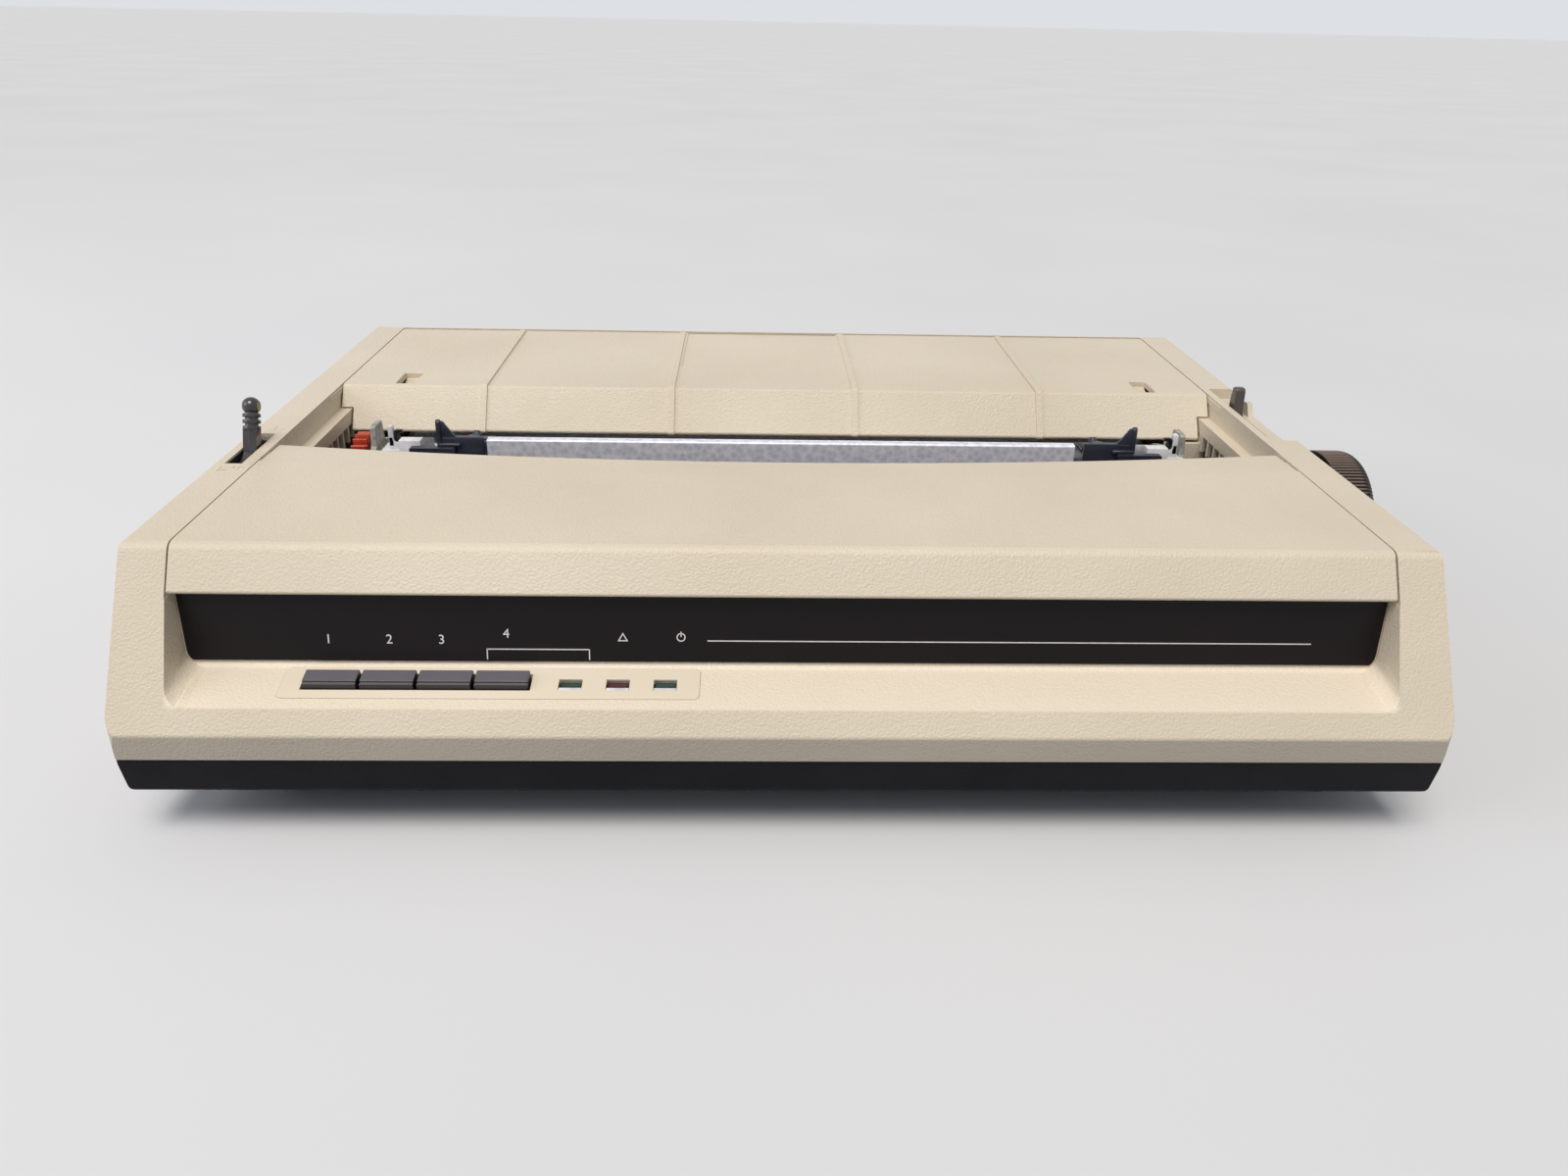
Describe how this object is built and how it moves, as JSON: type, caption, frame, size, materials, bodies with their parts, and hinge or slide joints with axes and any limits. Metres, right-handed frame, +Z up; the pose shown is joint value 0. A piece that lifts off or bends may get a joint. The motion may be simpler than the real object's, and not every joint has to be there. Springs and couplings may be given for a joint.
{
  "type": "dot matrix printer",
  "caption": "Desktop dot matrix printer with hinged covers, platen knob, tractors, moving print head, levers and sprung buttons.",
  "frame": {"origin": "centre of the whole printer's box on the floor, feet at z = 0", "axes": "+X to the printer's right as its user sees it, +Y to the rear, +Z up"},
  "size_m": [0.378, 0.2749, 0.0952],
  "materials": {
    "base_dark": "moulded ABS with a fine grain",
    "case_beige": "moulded ABS with a fine grain",
    "panel_dark": "semi-gloss printed strip",
    "key_grey": "moulded ABS, lightly polished by use",
    "lens_tint": "tinted clear plastic",
    "board_green": "glass-epoxy laminate",
    "board_parts": "moulded packages",
    "core_metal": "varnished laminations",
    "fitting_black": "moulded phenolic",
    "connector_metal": "tin-plated shell",
    "steel_plate": "zinc-plated sheet steel",
    "steel_shaft": "ground steel rod",
    "gear_white": "acetal",
    "platen_rubber": "ground rubber",
    "knob_brown": "moulded ABS with grip ridges",
    "motor_metal": "plated motor can",
    "brass_pinion": "machined brass",
    "gear_red": "acetal, orange-red",
    "bracket_grey": "acetal, light grey",
    "tractor_black": "glass-filled nylon, satin",
    "carriage_dark": "glass-filled nylon",
    "head_metal": "die-cast, dark finish",
    "sink_metal": "die-cast",
    "cartridge_black": "moulded polystyrene",
    "belt_black": "neoprene belt",
    "foot_rubber": "moulded rubber"
  },
  "bodies": {
    "printer": {"lower_case": "base_dark", "upper_case": "case_beige", "front_panel": "panel_dark", "button_plate": "case_beige", "lamp_lenses": "lens_tint", "operator_board": "board_green", "main_board": "board_green", "board_components": "board_parts", "transformer": "core_metal", "power_inlet": "fitting_black", "interface_connector": "connector_metal", "switch_housing": "fitting_black", "left_side_frame": "steel_plate", "right_side_frame": "steel_plate", "front_rail": "steel_plate", "paper_deck": "steel_plate", "paper_chute": "steel_plate", "paper_guide_bar": "steel_plate", "shaft_bushes": "gear_white", "feed_motor": "motor_metal", "tractor_guide_shaft": "steel_shaft", "shaft_brackets": "bracket_grey", "carriage_motor": "motor_metal", "timing_belt": "belt_black", "rubber_feet": "foot_rubber", "screws": "steel_shaft"},
    "front_cover": {"access_cover": "case_beige"},
    "back_cover": {"rear_cover": "case_beige"},
    "platen": {"platen_roller": "platen_rubber", "platen_shaft": "steel_shaft", "platen_gear": "gear_white", "platen_knob": "knob_brown"},
    "idler": {"idler_gear": "gear_white"},
    "tractor_drive": {"tractor_drive_shaft": "steel_shaft", "tractor_gear": "gear_red"},
    "motor_pinion": {"feed_pinion": "brass_pinion"},
    "tractor_left": {"left_tractor": "tractor_black"},
    "tractor_right": {"right_tractor": "tractor_black"},
    "wheel_left": {"left_pin_wheel": "tractor_black"},
    "wheel_right": {"right_pin_wheel": "tractor_black"},
    "lid_left": {"left_tractor_lid": "tractor_black"},
    "lid_right": {"right_tractor_lid": "tractor_black"},
    "roller_arm": {"pressure_arm": "steel_plate"},
    "rollers": {"pressure_rollers": "platen_rubber"},
    "head_carriage": {"carriage": "carriage_dark", "print_head": "head_metal", "head_heatsink": "sink_metal", "ribbon_cartridge": "cartridge_black"},
    "ribbon_winder": {"ribbon_knob": "cartridge_black"},
    "belt_drive": {"drive_pulley": "brass_pinion"},
    "belt_idler": {"idler_pulley": "gear_white"},
    "gap_adjuster": {"gap_lever": "key_grey", "guide_shaft": "steel_shaft"},
    "paper_release": {"release_lever": "key_grey"},
    "button_a": {"button_1": "key_grey"},
    "button_b": {"button_2": "key_grey"},
    "button_c": {"button_3": "key_grey"},
    "button_d": {"button_4": "key_grey"},
    "power_rocker": {"switch_rocker": "fitting_black"}
  },
  "joints": [
    {"name": "front_cover_hinge", "type": "hinge", "parent": "printer", "child": "front_cover", "pos_m": [-0.007, -0.031, 0.0765], "axis": [-1, 0, 0], "range_deg": [0, 78]},
    {"name": "rear_cover_hinge", "type": "hinge", "parent": "printer", "child": "back_cover", "pos_m": [-0.007, 0.1275, 0.077], "axis": [-1, 0, 0], "range_deg": [0, 85]},
    {"name": "platen_turn", "type": "hinge", "parent": "printer", "child": "platen", "pos_m": [-0.007, -0.029, 0.057], "axis": [1, 0, 0], "continuous": true},
    {"name": "idler_turn", "type": "hinge", "parent": "printer", "child": "idler", "pos_m": [-0.1585, -0.00821, 0.04311], "axis": [1, 0, 0], "continuous": true},
    {"name": "tractor_shaft_turn", "type": "hinge", "parent": "printer", "child": "tractor_drive", "pos_m": [-0.007, 0.007, 0.059], "axis": [1, 0, 0], "continuous": true},
    {"name": "pinion_turn", "type": "hinge", "parent": "printer", "child": "motor_pinion", "pos_m": [-0.1585, 0.00249, 0.03122], "axis": [1, 0, 0], "continuous": true},
    {"name": "left_tractor_slide", "type": "slide", "parent": "printer", "child": "tractor_left", "axis": [1, 0, 0], "range_m": [0, 0.055]},
    {"name": "right_tractor_slide", "type": "slide", "parent": "printer", "child": "tractor_right", "axis": [-1, 0, 0], "range_m": [0, 0.055]},
    {"name": "left_wheel_turn", "type": "hinge", "parent": "tractor_left", "child": "wheel_left", "pos_m": [-0.119, 0.007, 0.059], "axis": [1, 0, 0], "continuous": true},
    {"name": "right_wheel_turn", "type": "hinge", "parent": "tractor_right", "child": "wheel_right", "pos_m": [0.1096, 0.007, 0.059], "axis": [1, 0, 0], "continuous": true},
    {"name": "left_lid_hinge", "type": "hinge", "parent": "tractor_left", "child": "lid_left", "pos_m": [-0.1119, 0.003, 0.0724], "axis": [0, 1, 0], "range_deg": [0, 100]},
    {"name": "right_lid_hinge", "type": "hinge", "parent": "tractor_right", "child": "lid_right", "pos_m": [0.1025, 0.003, 0.0724], "axis": [0, -1, 0], "range_deg": [0, 100]},
    {"name": "roller_arm_pivot", "type": "hinge", "parent": "printer", "child": "roller_arm", "pos_m": [-0.007, -0.052, 0.026], "axis": [-1, 0, 0], "range_deg": [0, 4.2]},
    {"name": "rollers_turn", "type": "hinge", "parent": "roller_arm", "child": "rollers", "pos_m": [-0.007, -0.03051, 0.03545], "axis": [1, 0, 0], "continuous": true},
    {"name": "carriage_slide", "type": "slide", "parent": "printer", "child": "head_carriage", "axis": [1, 0, 0], "range_m": [-0.1016, 0.1016]},
    {"name": "ribbon_knob_turn", "type": "hinge", "parent": "head_carriage", "child": "ribbon_winder", "pos_m": [-0.035, -0.082, 0.06], "axis": [0, 0, 1], "continuous": true},
    {"name": "drive_pulley_turn", "type": "hinge", "parent": "printer", "child": "belt_drive", "pos_m": [-0.129, -0.09, 0.034], "axis": [0, 0, 1], "range_deg": [-860, 860]},
    {"name": "idler_pulley_turn", "type": "hinge", "parent": "printer", "child": "belt_idler", "pos_m": [0.115, -0.09, 0.034], "axis": [0, 0, 1], "range_deg": [-860, 860]},
    {"name": "gap_lever_turn", "type": "hinge", "parent": "printer", "child": "gap_adjuster", "pos_m": [-0.157, -0.072, 0.045], "axis": [1, 0, 0], "range_deg": [-2, 8]},
    {"name": "release_lever_turn", "type": "hinge", "parent": "printer", "child": "paper_release", "pos_m": [0.153, 0.022, 0.05], "axis": [1, 0, 0], "range_deg": [0, 24.5]},
    {"name": "button_1_press", "type": "slide", "parent": "printer", "child": "button_a", "axis": [0, 0.2166, -0.9763], "range_m": [0, 0.001], "stiffness_N_per_m": 400, "springref_m": -0.0005},
    {"name": "button_2_press", "type": "slide", "parent": "printer", "child": "button_b", "axis": [0, 0.2166, -0.9763], "range_m": [0, 0.001], "stiffness_N_per_m": 400, "springref_m": -0.0005},
    {"name": "button_3_press", "type": "slide", "parent": "printer", "child": "button_c", "axis": [0, 0.2166, -0.9763], "range_m": [0, 0.001], "stiffness_N_per_m": 400, "springref_m": -0.0005},
    {"name": "button_4_press", "type": "slide", "parent": "printer", "child": "button_d", "axis": [0, 0.2166, -0.9763], "range_m": [0, 0.001], "stiffness_N_per_m": 400, "springref_m": -0.0005},
    {"name": "power_rocker_tilt", "type": "hinge", "parent": "printer", "child": "power_rocker", "pos_m": [-0.095, 0.1295, 0.042], "axis": [0, 0, 1], "range_deg": [-9, 9]}
  ],
  "couplings": [
    {"joint": "idler_turn", "follows": "platen_turn", "ratio": -1.5},
    {"joint": "tractor_shaft_turn", "follows": "platen_turn", "ratio": 1.25},
    {"joint": "pinion_turn", "follows": "platen_turn", "ratio": 2.5},
    {"joint": "left_wheel_turn", "follows": "platen_turn", "ratio": 1.25},
    {"joint": "right_wheel_turn", "follows": "platen_turn", "ratio": 1.25},
    {"joint": "rollers_turn", "follows": "platen_turn", "ratio": -2.5833},
    {"joint": "roller_arm_pivot", "follows": "release_lever_turn", "ratio": 0.14},
    {"joint": "drive_pulley_turn", "follows": "carriage_slide", "rad_per_m": 143.88},
    {"joint": "idler_pulley_turn", "follows": "carriage_slide", "rad_per_m": 143.88}
  ]
}
